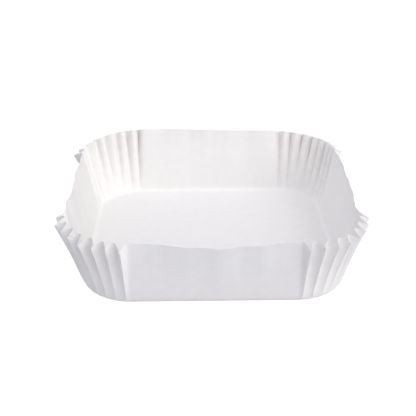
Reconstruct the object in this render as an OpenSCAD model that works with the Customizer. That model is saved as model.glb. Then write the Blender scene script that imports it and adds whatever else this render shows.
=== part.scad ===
// Air fryer paper liner, in millimetres.
// One blank of greaseproof paper with round corners is pressed into a square tray: a flat floor, a soft heel
// round it, four plain sides that lean outwards, and four corners whose spare paper stands in pleats.
// The origin is the middle of the floor's underside, and +Z is up.

/* [Tray] */
// Width of the flat floor, between the heels of two opposite sides
floor_w = 163; // [120:1:220]
// Corner radius of the flat floor
floor_corner_r = 29.5; // [15:0.5:50]
// Height of the rim above the underside
tray_h = 47; // [30:1:60]
// Lean of the plain sides from upright, in degrees
lean = 12; // [5:1:20]
// Radius of the soft bend between the floor and the sides
heel_r = 4; // [2:0.5:10]

/* [Corner pleats] */
// Number of pleats in each corner
pleats = 8; // [6:1:9]
// How much broader the ridges inside the tray are than the folds outside it: 0 is an even wave
ridge_share = 0.65; // [0:0.05:0.8]
// How much shallower the pleats are pressed at the heel than at the rim: 0 is not at all, 1 is flat
press = 0.4; // [0:0.05:0.8]
// How much lower the outer folds end than their slant alone brings them
fold_tuck = 1.2; // [0:0.1:2.5]

/* [Plain sides] */
// How far the middle of a side bows outwards at the rim
side_bow = 2; // [0:0.1:4]
// How far the rim dips in the middle of a side
rim_dip = 0.5; // [0:0.1:2]

/* [Paper] */
// Thickness of the paper
paper_t = 0.06; // [0.04:0.01:0.2]

/* [Facets] */
// Facets across each pleat
pleat_facets = 8; // [4:2:10]
// Facets along each plain side
side_facets = 8; // [4:2:12]
// Facets round the heel, from the floor to the side
heel_facets = 4; // [2:1:6]
// Facets up the side, from the heel to the rim
wall_facets = 4; // [2:1:6]

/* [Hidden] */

quarter = 90;
side_l = floor_w - 2 * floor_corner_r;
heel_turn = quarter - lean;

// Length of the paper along the section, from the floor's edge: round the heel, up the side, and both
heel_l = heel_r * heel_turn * PI / 180;
wall_l = (tray_h - heel_r * (1 - cos(heel_turn))) / cos(lean);
section_l = heel_l + wall_l;

// The section: how far out from the floor's edge, and how high, the paper is after a length s
function turn(s) = min(s / heel_r * 180 / PI, heel_turn);
function up_wall(s) = max(s - heel_l, 0);
function reach(s) = heel_r * sin(turn(s)) + up_wall(s) * sin(lean);
function height(s) = heel_r * (1 - cos(turn(s))) + up_wall(s) * cos(lean);

// Depth of the pleats. At a length s the blank's corner is an arc of radius floor_corner_r + s, and the tray's
// is shorter. Half a pleat's share of the blank is the slant between an inner ridge and an outer fold. Low down,
// where the tray is pressed hardest, part of that paper is lost in fine creases and the pleats are shallower.
half_pleat = quarter / pleats / 2;
function ridge_r(s) = floor_corner_r + reach(s);
function pleat_depth(s) =
    let (slant = (floor_corner_r + s) * half_pleat * PI / 180, across = ridge_r(s) * sin(half_pleat),
         full = sqrt(max(slant ^ 2 - across ^ 2, 0)) - ridge_r(s) * (1 - cos(half_pleat)))
    full * (1 - press * (1 - (height(s) / tray_h) ^ 2));

// An outer fold leans further out than the side does, so the same length of paper ends lower
function fold_drop(s) =
    let (out = up_wall(s) * sin(lean) + pleat_depth(s) - pleat_depth(heel_l),
         slant_drop = up_wall(s) * cos(lean) - sqrt(up_wall(s) ^ 2 - out ^ 2))
    s > heel_l ? slant_drop + fold_tuck * (up_wall(s) / wall_l) ^ 2 : 0;

// The paper's way across the pleats, for t pleats: how far out, from 0 on an inner ridge to 1 on an outer fold,
// and how far along. It is an even wave whose points are pushed along towards the folds.
function fold(t) = (1 - cos(360 * t)) / 2;
function along(t) = t + ridge_share * sin(360 * t) / (2 * PI);

// Points of the outer skin on the front side and on the corner to its right, with u from 0 to 1 along each
function side_point(s, u) =
    let (slack = (sin(180 * u) * s / section_l) ^ 2)
    [side_l * (u - 0.5), -floor_w / 2 - reach(s) - side_bow * slack, height(s) - rim_dip * slack];
function corner_point(s, u) =
    let (f = fold(u * pleats), r = ridge_r(s) + f * pleat_depth(s), a = quarter * along(u * pleats) / pleats)
    [side_l / 2 + r * sin(a), -side_l / 2 - r * cos(a), height(s) - f * fold_drop(s)];
function turned(p, a) = [p.x * cos(a) - p.y * sin(a), p.x * sin(a) + p.y * cos(a), p.z];

// One row of the outer skin, at the length s, all the way round
corner_facets = pleats * pleat_facets;
function ring(s) = [
    for (k = [0:3]) each [
        for (i = [0:side_facets - 1]) turned(side_point(s, i / side_facets), quarter * k),
        for (i = [0:corner_facets - 1]) turned(corner_point(s, i / corner_facets), quarter * k)
    ]
];
lengths = [
    for (i = [0:heel_facets - 1]) heel_l * i / heel_facets,
    for (i = [0:wall_facets]) heel_l + wall_l * i / wall_facets
];
outer = [for (s = lengths) ring(s)];
rows = len(outer);
columns = len(outer[0]);

// The inner skin lies one thickness inside the outer one, and level with it over the floor
function inward(i, j) =
    let (along = outer[i][(j + 1) % columns] - outer[i][(j + columns - 1) % columns],
         up = outer[min(i + 1, rows - 1)][j] - outer[i - 1][j],
         normal = cross(up, along))
    normal / norm(normal);
inner = [
    for (i = [0:rows - 1]) [
        for (j = [0:columns - 1]) outer[i][j] + paper_t * (i == 0 ? [0, 0, 1] : inward(i, j))
    ]
];

// Index of a point in the two skins, one after the other, and the two triangles of a four-cornered facet
function at(i, j, skin = 0) = (skin * rows + i) * columns + j % columns;
function facet(a, b, c, d) = [[a, b, c], [a, c, d]];

module liner() {
    middle = 2 * rows * columns;
    floor_under = [for (j = [0:columns - 1]) [middle, at(0, j), at(0, j + 1)]];
    floor_top = [for (j = [0:columns - 1]) [middle + 1, at(0, j + 1, 1), at(0, j, 1)]];
    skins = [
        for (i = [0:rows - 2], j = [0:columns - 1]) each concat(
            facet(at(i, j), at(i + 1, j), at(i + 1, j + 1), at(i, j + 1)),
            facet(at(i, j, 1), at(i, j + 1, 1), at(i + 1, j + 1, 1), at(i + 1, j, 1))
        )
    ];
    rim = [
        for (j = [0:columns - 1]) each
            facet(at(rows - 1, j), at(rows - 1, j, 1), at(rows - 1, j + 1, 1), at(rows - 1, j + 1))
    ];
    color("white")
        polyhedron(
            points = concat(
                [for (row = outer) each row], [for (row = inner) each row], [[0, 0, 0], [0, 0, paper_t]]
            ),
            faces = concat(floor_under, floor_top, skins, rim)
        );
}

liner();
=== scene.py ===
import math
import bpy
import numpy as np
from mathutils import Matrix, Vector


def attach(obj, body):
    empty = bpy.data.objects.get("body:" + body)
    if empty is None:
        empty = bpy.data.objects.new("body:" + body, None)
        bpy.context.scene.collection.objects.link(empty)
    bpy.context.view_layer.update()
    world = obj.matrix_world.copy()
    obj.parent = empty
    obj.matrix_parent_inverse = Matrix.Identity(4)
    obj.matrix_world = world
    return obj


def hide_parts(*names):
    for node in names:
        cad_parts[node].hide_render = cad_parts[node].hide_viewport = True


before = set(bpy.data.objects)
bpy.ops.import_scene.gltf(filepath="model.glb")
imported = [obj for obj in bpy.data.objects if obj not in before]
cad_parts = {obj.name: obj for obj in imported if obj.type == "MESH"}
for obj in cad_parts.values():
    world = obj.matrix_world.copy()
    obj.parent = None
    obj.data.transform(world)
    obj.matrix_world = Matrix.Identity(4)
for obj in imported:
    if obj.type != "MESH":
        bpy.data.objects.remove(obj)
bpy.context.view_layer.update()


# Camera, at the photograph's angle
cameraSet = {
    "place": (-0.0142, -0.5530, 0.2926),  # metres, in the part's frame
    "pitchDeg": 25.80,  # looking down
    "yawDeg": -1.23,
    "lensMm": 75.33,
    "sensorMm": 36.0,
    "clip": (0.01, 20),  # the nearest and furthest that it sees, in metres
}

def makeCamera(c):
    data = bpy.data.cameras.new("photoCamera")
    data.lens = c["lensMm"]
    data.sensor_width = c["sensorMm"]
    data.clip_start, data.clip_end = c["clip"]
    camera = bpy.data.objects.new("photoCamera", data)
    bpy.context.scene.collection.objects.link(camera)
    # turn to the yaw, then tip down by the pitch
    turn = Matrix.Rotation(math.radians(c["yawDeg"]), 4, "Z")
    tip = Matrix.Rotation(math.radians(90 - c["pitchDeg"]), 4, "X")
    camera.matrix_world = Matrix.Translation(c["place"]) @ turn @ tip
    bpy.context.scene.camera = camera

makeCamera(cameraSet)
print("camera set")


# The liner: one sheet pressed from a round-cornered blank, in metres
linerSet = {
    "floorWidth": 0.163,
    "floorCorner": 0.0295,
    "height": 0.047,
    "leanDeg": 12.0,
    "heelRadius": 0.004,
    "pleats": 8,
    "ridgeShare": 0.65,  # how much broader the inner ridges are than the outer folds: 0 is an even wave
    "press": 0.4,  # how much shallower the pleats are pressed at the heel than at the rim
    "foldTuck": 0.0012,  # how much lower the outer folds end than their slant alone brings them
    "paper": 0.00006,
    "depthSpread": 0.06,  # how much one pleat differs from the next, as a share of its depth
    "widthSpread": 0.05,  # the same, of its width
    "creaseSharp": 24,  # how narrow the crease marks on the outer folds are
    "creaseFrom": 0.2,  # the share of the section where they begin
    "creaseRise": 3,  # how fast they grow clear above it
    "ripple": 0.0005,  # height of the soft upright waves in the sides
    "rimWave": 0.030,  # length of the broad waves along the rim
    "rimFade": 1.3,  # how fast these fade towards the heel
    "fineWave": 0.013,
    "sideWave": 0.040,
    "smallWaves": 0.5,  # height of the fine waves and the side waves beside the broad ones
    "waveCount": 6,
    "floorRipple": 0.00016,
    "floorWave": 0.07,
    "floorWaveCount": 8,
    "streaks": 0.3,  # height of the fine ripples from side to side beside the floor's broad waves
    "streakWave": 0.02,
    "streakStretch": 0.2,  # under 1 draws the streaks out from side to side
    "flatEdge": 0.12,  # share of the floor next to the heel in which its waves die away
    "ringCrowd": 0.8,  # under 1 sets the floor's rings closer towards the heel
    "pleatSteps": 16, "sideSteps": 56, "heelSteps": 10, "wallSteps": 26, "floorSteps": 26,
    "mapWidth": 0.3,  # width of the map of the flat blank
    "seed": 7,
}

# Where handling has pulled the rim out of its pressed shape, in mm: a place on the rim, how far
# the pull reaches along it, and how far it moves the paper there (right, back, up)
pulls = [
    ((-93, -60), 15, (-0.6, 3.0, 1.1)),
    ((-78, -84), 13, (0.7, 0.2, 0.9)),
    ((93, -60), 15, (-1.3, 1.0, 0.2)),
    ((78, -84), 13, (-0.4, -0.7, -0.8)),
    ((-93, 60), 15, (-0.9, -1.2, -0.6)),
    ((-72, 86), 14, (0.0, 1.0, 0.5)),
    ((93, 60), 15, (-1.3, 1.0, 0.4)),
    ((72, 86), 14, (0.8, -1.0, -0.5)),
    ((-62, -94), 7, (0.0, 0.2, 0.9)),
    ((4, -95), 22, (0.0, -2.7, -1.6)),
    ((-38, -95), 9, (0.0, 0.5, 0.5)),
    ((-22, -95), 6, (0.0, -0.5, 0.0)),
    ((14, -95), 6, (0.0, 0.4, 0.0)),
    ((31, -95), 7, (0.0, -0.5, 0.0)),
    ((52, -95), 10, (0.4, 0.8, 1.2)),
    ((-38, 95), 26, (0.8, 2.8, 1.05)),
    ((22, 95), 34, (-0.3, 1.2, 0.1)),
    ((-95, -31), 8, (-1.3, 0.0, 0.0)),
    ((-95, -12), 9, (0.5, 0.0, 0.0)),
    ((-95, 14), 9, (-1.5, 0.0, 0.0)),
    ((95, -34), 12, (-1.0, 0.0, -0.2)),
    ((95, -8), 12, (1.2, 0.0, 0.0)),
    ((95, 28), 12, (1.2, 0.0, 0.0)),
]

def sectionOf(p, s):
    # the section after a length s of paper from the floor's edge: round the heel, then straight up the side
    turnEnd = math.radians(90 - p["leanDeg"])
    lean = math.radians(p["leanDeg"])
    turn = np.minimum(s / p["heelRadius"], turnEnd)
    up = np.maximum(s - p["heelRadius"] * turnEnd, 0)
    reach = p["heelRadius"] * np.sin(turn) + up * math.sin(lean)
    height = p["heelRadius"] * (1 - np.cos(turn)) + up * math.cos(lean)
    return reach, height, up

def pleatDepth(p, s):
    # half a pleat's share of the blank is the slant between an inner ridge and an outer fold
    halfPleat = math.radians(90) / p["pleats"] / 2
    reach, height, _ = sectionOf(p, s)
    ridge = p["floorCorner"] + reach
    slant = (p["floorCorner"] + s) * halfPleat
    across = ridge * math.sin(halfPleat)
    full = np.sqrt(np.maximum(slant ** 2 - across ** 2, 0)) - ridge * (1 - math.cos(halfPleat))
    return full * (1 - p["press"] * (1 - (height / p["height"]) ** 2))

def foldPath(p, t):
    # the paper's way across the pleats: how far along, in pleats, and how far out, 0 on an inner ridge and
    # 1 on an outer fold: an even wave whose points are pushed along towards the folds
    turn = 2 * np.pi * t
    return t + p["ridgeShare"] * np.sin(turn) / (2 * np.pi), (1 - np.cos(turn)) / 2

waveSpread = (0.6, 1.6)  # the shortest and longest wave beside the length asked for

def softNoise(rng, coordinates, length, count):
    # the sum of count sine waves of about that length, each with its own direction and phase
    total = 0
    for _ in range(count):
        direction = rng.normal(size=len(coordinates))
        direction /= np.linalg.norm(direction)
        along = sum(d * c for d, c in zip(direction, coordinates)) / (length * rng.uniform(*waveSpread))
        total = total + np.sin(2 * np.pi * (along + rng.uniform()))
    return total / math.sqrt(count)

def linerWall(p, rng):
    # the outer skin above the floor, as rows up the section and columns round the tray: its points,
    # the same points on the flat blank, each row's share of the section, and how near a fold each point is
    turnEnd, lean = math.radians(90 - p["leanDeg"]), math.radians(p["leanDeg"])
    heelLength = p["heelRadius"] * turnEnd
    wallLength = (p["height"] - p["heelRadius"] * (1 - math.cos(turnEnd))) / math.cos(lean)
    s = np.concatenate([
        np.linspace(0, heelLength, p["heelSteps"], endpoint=False),
        heelLength + wallLength * np.linspace(0, 1, p["wallSteps"] + 1),
    ])[:, None]
    share = s / (heelLength + wallLength)
    reach, height, up = sectionOf(p, s)
    depth = pleatDepth(p, s)
    # the outer folds lean further out than the ridges on the same length of paper, so they end lower
    out = up * math.sin(lean) + depth - pleatDepth(p, np.array(heelLength))
    drop = np.where(up > 0, up * math.cos(lean) - np.sqrt(np.maximum(up ** 2 - out ** 2, 0)), 0)
    drop = drop + p["foldTuck"] * (up / wallLength) ** 2
    half, corner = p["floorWidth"] / 2, p["floorCorner"]
    side = p["floorWidth"] - 2 * corner
    x = side * (np.arange(p["sideSteps"])[None] / p["sideSteps"] - 0.5) + 0 * s
    sidePart = np.stack([x, -half - reach + 0 * x, height + 0 * x], -1)
    sideFlat = np.stack([x, -half - s + 0 * x], -1)
    t = np.arange(p["pleats"] * p["pleatSteps"])[None] / p["pleatSteps"]
    points, flat, folds = [], [], []
    for k in range(4):
        # each pleat is a little deeper or shallower, wider or narrower than the next
        deeper = 1 + rng.normal(0, p["depthSpread"], p["pleats"])[t.astype(int)]
        edges = np.arange(p["pleats"] + 1) + np.pad(rng.normal(0, p["widthSpread"], p["pleats"] - 1), 1)
        along, fold = foldPath(p, t)
        fold = fold * deeper
        shifted = along + (np.interp(t, np.arange(len(edges)), edges) - t) * share
        angle = np.radians(90) * shifted / p["pleats"]
        radius = corner + reach + depth * fold
        cornerPart = np.stack([side / 2 + radius * np.sin(angle), -side / 2 - radius * np.cos(angle),
                               height - drop * fold], -1)
        angle = np.radians(90) * t / p["pleats"] + 0 * s
        cornerFlat = np.stack([side / 2 + (corner + s) * np.sin(angle),
                               -side / 2 - (corner + s) * np.cos(angle)], -1)
        nearFold = np.abs(np.sin(np.pi * t)) ** p["creaseSharp"]
        nearFold = nearFold * np.clip((share - p["creaseFrom"]) * p["creaseRise"], 0, 1)
        # a quarter turn for each side
        c, n = round(math.cos(k * math.pi / 2)), round(math.sin(k * math.pi / 2))
        turn = np.array([[c, n, 0], [-n, c, 0], [0, 0, 1]])
        points.append(np.concatenate([sidePart, cornerPart], 1) @ turn)
        flat.append(np.concatenate([sideFlat, cornerFlat], 1) @ turn[:2, :2])
        folds.append(np.concatenate([0 * x, nearFold], 1))
    return np.concatenate(points, 1), np.concatenate(flat, 1), share, np.concatenate(folds, 1)

def gridNormals(points):
    # unit normals of a grid that closes round its columns, pointing out of the tray
    along = np.roll(points, -1, 1) - np.roll(points, 1, 1)
    normal = np.cross(along, np.gradient(points, axis=0))
    return normal / np.linalg.norm(normal, axis=-1, keepdims=True)

def settle(p, rng, wall, share):
    # pull the rim about, less and less down to the heel, then add soft upright waves
    rim = wall[-1, :, :2]
    moved = wall.copy()
    for place, width, move in pulls:
        away = np.linalg.norm(rim - np.array(place) / 1000, axis=-1) * 1000 / width
        moved += np.exp(-away ** 2 / 2)[None, :, None] * share[..., None] ** 2 * np.array(move) / 1000
    count = p["waveCount"]
    waves = softNoise(rng, rim.T, p["rimWave"], count) * share ** p["rimFade"]
    waves += softNoise(rng, rim.T, p["fineWave"], count) * share * p["smallWaves"]
    waves += softNoise(rng, np.moveaxis(wall, -1, 0), p["sideWave"], count) * share * p["smallWaves"]
    return moved + gridNormals(moved) * (waves * p["ripple"])[..., None]

def makeLiner(p):
    rng = np.random.default_rng(p["seed"])
    wall, flat, share, folds = linerWall(p, rng)
    wall = settle(p, rng, wall, share)
    # the floor: rings from its middle out to the wall's first row, lifted a little here and there
    ring = (np.arange(1, p["floorSteps"]) / p["floorSteps"])[:, None, None] ** p["ringCrowd"]
    floor = wall[:1] * ring
    x, y = floor[..., 0], floor[..., 1]
    lift = softNoise(rng, (x, y), p["floorWave"], p["floorWaveCount"])
    lift += softNoise(rng, (x * p["streakStretch"], y), p["streakWave"], p["waveCount"]) * p["streaks"]
    lift = (lift - lift.min()) * p["floorRipple"] * np.clip((1 - ring[..., 0]) / p["flatEdge"], 0, 1)
    floor[..., 2] += lift
    outer = np.concatenate([floor, wall])
    flat = np.concatenate([flat[:1] * ring, flat])
    folds = np.concatenate([0 * lift, folds])
    normal = gridNormals(outer)
    normal[:p["floorSteps"]] = (0, 0, -1)
    inner = outer - normal * p["paper"]
    middle = np.array([[0, 0, lift[0].mean()], [0, 0, lift[0].mean() + p["paper"]]])
    vertices = np.concatenate([outer.reshape(-1, 3), inner.reshape(-1, 3), middle])
    # quads of the two skins and of the rim between them, and triangles round the middle of the floor
    rows, columns = outer.shape[:2]
    skin = rows * columns
    here = np.arange(skin).reshape(rows, columns)
    nextOne = np.roll(here, -1, 1)
    outside = np.stack([here[:-1], nextOne[:-1], nextOne[1:], here[1:]], -1).reshape(-1, 4)
    edge = np.stack([here[-1], nextOne[-1], nextOne[-1] + skin, here[-1] + skin], -1)
    quads = np.concatenate([outside, outside[:, ::-1] + skin, edge])
    below = np.stack([nextOne[0], here[0], np.full(columns, 2 * skin)], -1)
    above = np.stack([here[0] + skin, nextOne[0] + skin, np.full(columns, 2 * skin + 1)], -1)
    triangles = np.concatenate([below, above])
    loops = np.concatenate([quads.ravel(), triangles.ravel()])
    starts = np.concatenate([np.arange(len(quads)) * 4, len(quads) * 4 + np.arange(len(triangles)) * 3])
    mesh = bpy.data.meshes.new("liner_paper")
    mesh.vertices.add(len(vertices))
    mesh.vertices.foreach_set("co", vertices.astype(np.float32).ravel())
    mesh.loops.add(len(loops))
    mesh.loops.foreach_set("vertex_index", loops.astype(np.int32))
    mesh.polygons.add(len(starts))
    mesh.polygons.foreach_set("loop_start", starts.astype(np.int32))
    mesh.update(calc_edges=True)
    mesh.validate()
    mesh.shade_smooth()
    # the cut edge of the paper stays crisp
    ends = np.zeros(len(mesh.edges) * 2, np.int32)
    mesh.edges.foreach_get("vertices", ends)
    ends = ends.reshape(-1, 2)
    onRim = np.isin(ends % skin, here[-1]).all(1) & (ends < 2 * skin).all(1)
    sameSkin = (ends[:, 0] < skin) == (ends[:, 1] < skin)
    mesh.attributes.new("sharp_edge", "BOOLEAN", "EDGE").data.foreach_set("value", onRim & sameSkin)
    # the flat blank is the paper's own map, with its middle in the map's, and folds marks the crease lines
    blank = np.concatenate([flat.reshape(-1, 2)] * 2 + [np.zeros((2, 2))]) / p["mapWidth"] + 0.5
    mesh.uv_layers.new(name="blank").data.foreach_set("uv", blank[loops].astype(np.float32).ravel())
    marks = np.concatenate([folds.ravel()] * 2 + [np.zeros(2)])
    mesh.attributes.new("folds", "FLOAT", "POINT").data.foreach_set("value", marks.astype(np.float32))
    piece = bpy.data.objects.new("liner_paper", mesh)
    bpy.context.scene.collection.objects.link(piece)
    print("liner:", len(quads) * 2 + len(triangles), "triangles")
    return piece

liner = makeLiner(linerSet)
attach(liner, "root")
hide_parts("liner")


# Greaseproof paper: white, nearly matt, letting a little light through
paperSet = {
    "thick": (0.962, 0.943, 0.927),  # where the fibres lie thick
    "thin": (0.926, 0.907, 0.890),
    "cloudWaves": 55.0,  # patches of thick and thin across the blank's map
    "cloudDetail": 4,
    "cloudRange": (0.3, 0.7),  # the part of the noise that goes from thin to thick
    "fibreWaves": 900.0,
    "fibreDetail": 3,
    "fibreTwist": 1.5,
    "foldColour": (0.957, 0.945, 0.930),
    "roughness": 0.52,
    "foldRoughness": 0.68,
    "through": 0.2,  # share of the light that goes through a skin
    "throughColour": (0.97, 0.945, 0.92),
    "grain": 0.00001,  # height of the fibres, in metres
}

def makePaper(p):
    material = bpy.data.materials.new("greaseproofPaper")
    material.use_nodes = True
    nodes, links = material.node_tree.nodes, material.node_tree.links
    shader, out = nodes["Principled BSDF"], nodes["Material Output"]
    blank = nodes.new("ShaderNodeUVMap")
    blank.uv_map = "blank"
    folds = nodes.new("ShaderNodeAttribute")
    folds.attribute_name = "folds"
    clouds = nodes.new("ShaderNodeTexNoise")
    clouds.inputs["Scale"].default_value = p["cloudWaves"]
    clouds.inputs["Detail"].default_value = p["cloudDetail"]
    fibres = nodes.new("ShaderNodeTexNoise")
    fibres.inputs["Scale"].default_value = p["fibreWaves"]
    fibres.inputs["Detail"].default_value = p["fibreDetail"]
    fibres.inputs["Distortion"].default_value = p["fibreTwist"]
    links.new(blank.outputs["UV"], clouds.inputs["Vector"])
    links.new(blank.outputs["UV"], fibres.inputs["Vector"])
    spread = nodes.new("ShaderNodeMapRange")
    spread.inputs["From Min"].default_value, spread.inputs["From Max"].default_value = p["cloudRange"]
    links.new(clouds.outputs["Fac"], spread.inputs["Value"])
    tone = nodes.new("ShaderNodeMix")
    tone.data_type = "RGBA"
    tone.inputs[6].default_value = (*p["thin"], 1)
    tone.inputs[7].default_value = (*p["thick"], 1)
    links.new(spread.outputs["Result"], tone.inputs["Factor"])
    creased = nodes.new("ShaderNodeMix")
    creased.data_type = "RGBA"
    creased.inputs[7].default_value = (*p["foldColour"], 1)
    links.new(folds.outputs["Fac"], creased.inputs["Factor"])
    links.new(tone.outputs[2], creased.inputs[6])
    links.new(creased.outputs[2], shader.inputs["Base Color"])
    rough = nodes.new("ShaderNodeMapRange")
    rough.inputs["To Min"].default_value = p["roughness"]
    rough.inputs["To Max"].default_value = p["foldRoughness"]
    links.new(folds.outputs["Fac"], rough.inputs["Value"])
    links.new(rough.outputs["Result"], shader.inputs["Roughness"])
    bump = nodes.new("ShaderNodeBump")
    bump.inputs["Distance"].default_value = p["grain"]
    links.new(fibres.outputs["Fac"], bump.inputs["Height"])
    links.new(bump.outputs["Normal"], shader.inputs["Normal"])
    through = nodes.new("ShaderNodeBsdfTranslucent")
    through.inputs["Color"].default_value = (*p["throughColour"], 1)
    both = nodes.new("ShaderNodeMixShader")
    both.inputs[0].default_value = p["through"]
    links.new(shader.outputs[0], both.inputs[1])
    links.new(through.outputs[0], both.inputs[2])
    links.new(both.outputs[0], out.inputs["Surface"])
    return material

liner.data.materials.append(makePaper(paperSet))
print("paper made")


# Pale floor: white to the camera, with the tray's soft shadow on it
floorSet = {
    "halfWidth": 4.0,
    "below": 0.0001,  # how far it lies under the liner, in metres
    "bounce": (0.68, 0.685, 0.72),  # how white the floor is to the light
    "seen": 0.3,  # the share of light and shadow that the camera sees
    "glow": 0.9,  # white added for the camera
}

def seenRay(nodes, links):
    # 1 for rays from the camera or off a shiny surface, which see the white background
    path = nodes.new("ShaderNodeLightPath")
    either = nodes.new("ShaderNodeMath")
    either.operation = "MAXIMUM"
    links.new(path.outputs["Is Camera Ray"], either.inputs[0])
    links.new(path.outputs["Is Glossy Ray"], either.inputs[1])
    return either.outputs[0]

def makeFloor(p):
    h = p["halfWidth"]
    mesh = bpy.data.meshes.new("paleFloor")
    mesh.from_pydata([(-h, -h, 0), (h, -h, 0), (h, h, 0), (-h, h, 0)], [], [(0, 1, 2, 3)])
    ground = bpy.data.objects.new("paleFloor", mesh)
    ground.location.z = -p["below"]
    bpy.context.scene.collection.objects.link(ground)
    material = bpy.data.materials.new("paleFloor")
    material.use_nodes = True
    nodes, links = material.node_tree.nodes, material.node_tree.links
    nodes.clear()
    out = nodes.new("ShaderNodeOutputMaterial")
    plain = nodes.new("ShaderNodeBsdfDiffuse")
    plain.inputs["Color"].default_value = (*p["bounce"], 1)
    seen = nodes.new("ShaderNodeBsdfDiffuse")
    seen.inputs["Color"].default_value = (p["seen"],) * 3 + (1,)
    glow = nodes.new("ShaderNodeEmission")
    glow.inputs["Strength"].default_value = p["glow"]
    both = nodes.new("ShaderNodeAddShader")
    links.new(seen.outputs[0], both.inputs[0])
    links.new(glow.outputs[0], both.inputs[1])
    pick = nodes.new("ShaderNodeMixShader")
    links.new(seenRay(nodes, links), pick.inputs[0])
    links.new(plain.outputs[0], pick.inputs[1])
    links.new(both.outputs[0], pick.inputs[2])
    links.new(pick.outputs[0], out.inputs["Surface"])
    mesh.materials.append(material)

makeFloor(floorSet)
print("floor made")


# Light: soft square panels round the tray, strongest from the front, and a white background for the camera
lightSet = {
    "sky": 0.0,  # even light from all round: none, since the panels give it all
    "panelWidth": 2.4,
    "panels": {
        "front": {"place": (0.66, -0.82, 1.22), "watts": 27.4, "colour": (0.975, 0.98, 1.0)},
        "right": {"place": (1.10, -0.84, 0.80), "watts": 17.2, "colour": (0.97, 0.975, 1.0)},
        "left": {"place": (-1.20, 0.10, 1.06), "watts": 20.6, "colour": (0.87, 0.895, 1.0)},
        "back": {"place": (0.0, 0.6, 1.50), "watts": 4.4, "colour": (0.92, 0.93, 1.0)},
    },
}

def makeSky(strength):
    world = bpy.data.worlds.new("softSky")
    world.use_nodes = True
    nodes, links = world.node_tree.nodes, world.node_tree.links
    sky = nodes["Background"]
    sky.inputs["Color"].default_value = (1, 1, 1, 1)
    sky.inputs["Strength"].default_value = strength
    white = nodes.new("ShaderNodeBackground")
    white.inputs["Color"].default_value = (1, 1, 1, 1)
    pick = nodes.new("ShaderNodeMixShader")
    links.new(seenRay(nodes, links), pick.inputs[0])
    links.new(sky.outputs[0], pick.inputs[1])
    links.new(white.outputs[0], pick.inputs[2])
    links.new(pick.outputs[0], nodes["World Output"].inputs["Surface"])
    bpy.context.scene.world = world

def makePanel(name, width, p):
    # a square of light that faces the tray
    data = bpy.data.lights.new(name, "AREA")
    data.shape = "SQUARE"
    data.size = width
    data.energy = p["watts"]
    data.color = p["colour"]
    panel = bpy.data.objects.new(name, data)
    bpy.context.scene.collection.objects.link(panel)
    place = Vector(p["place"])
    panel.matrix_world = Matrix.Translation(place) @ place.to_track_quat("Z", "Y").to_matrix().to_4x4()

makeSky(lightSet["sky"])
for name, panel in lightSet["panels"].items():
    makePanel(name, lightSet["panelWidth"], panel)
bpy.context.scene.view_settings.view_transform = "Standard"
print("light set")
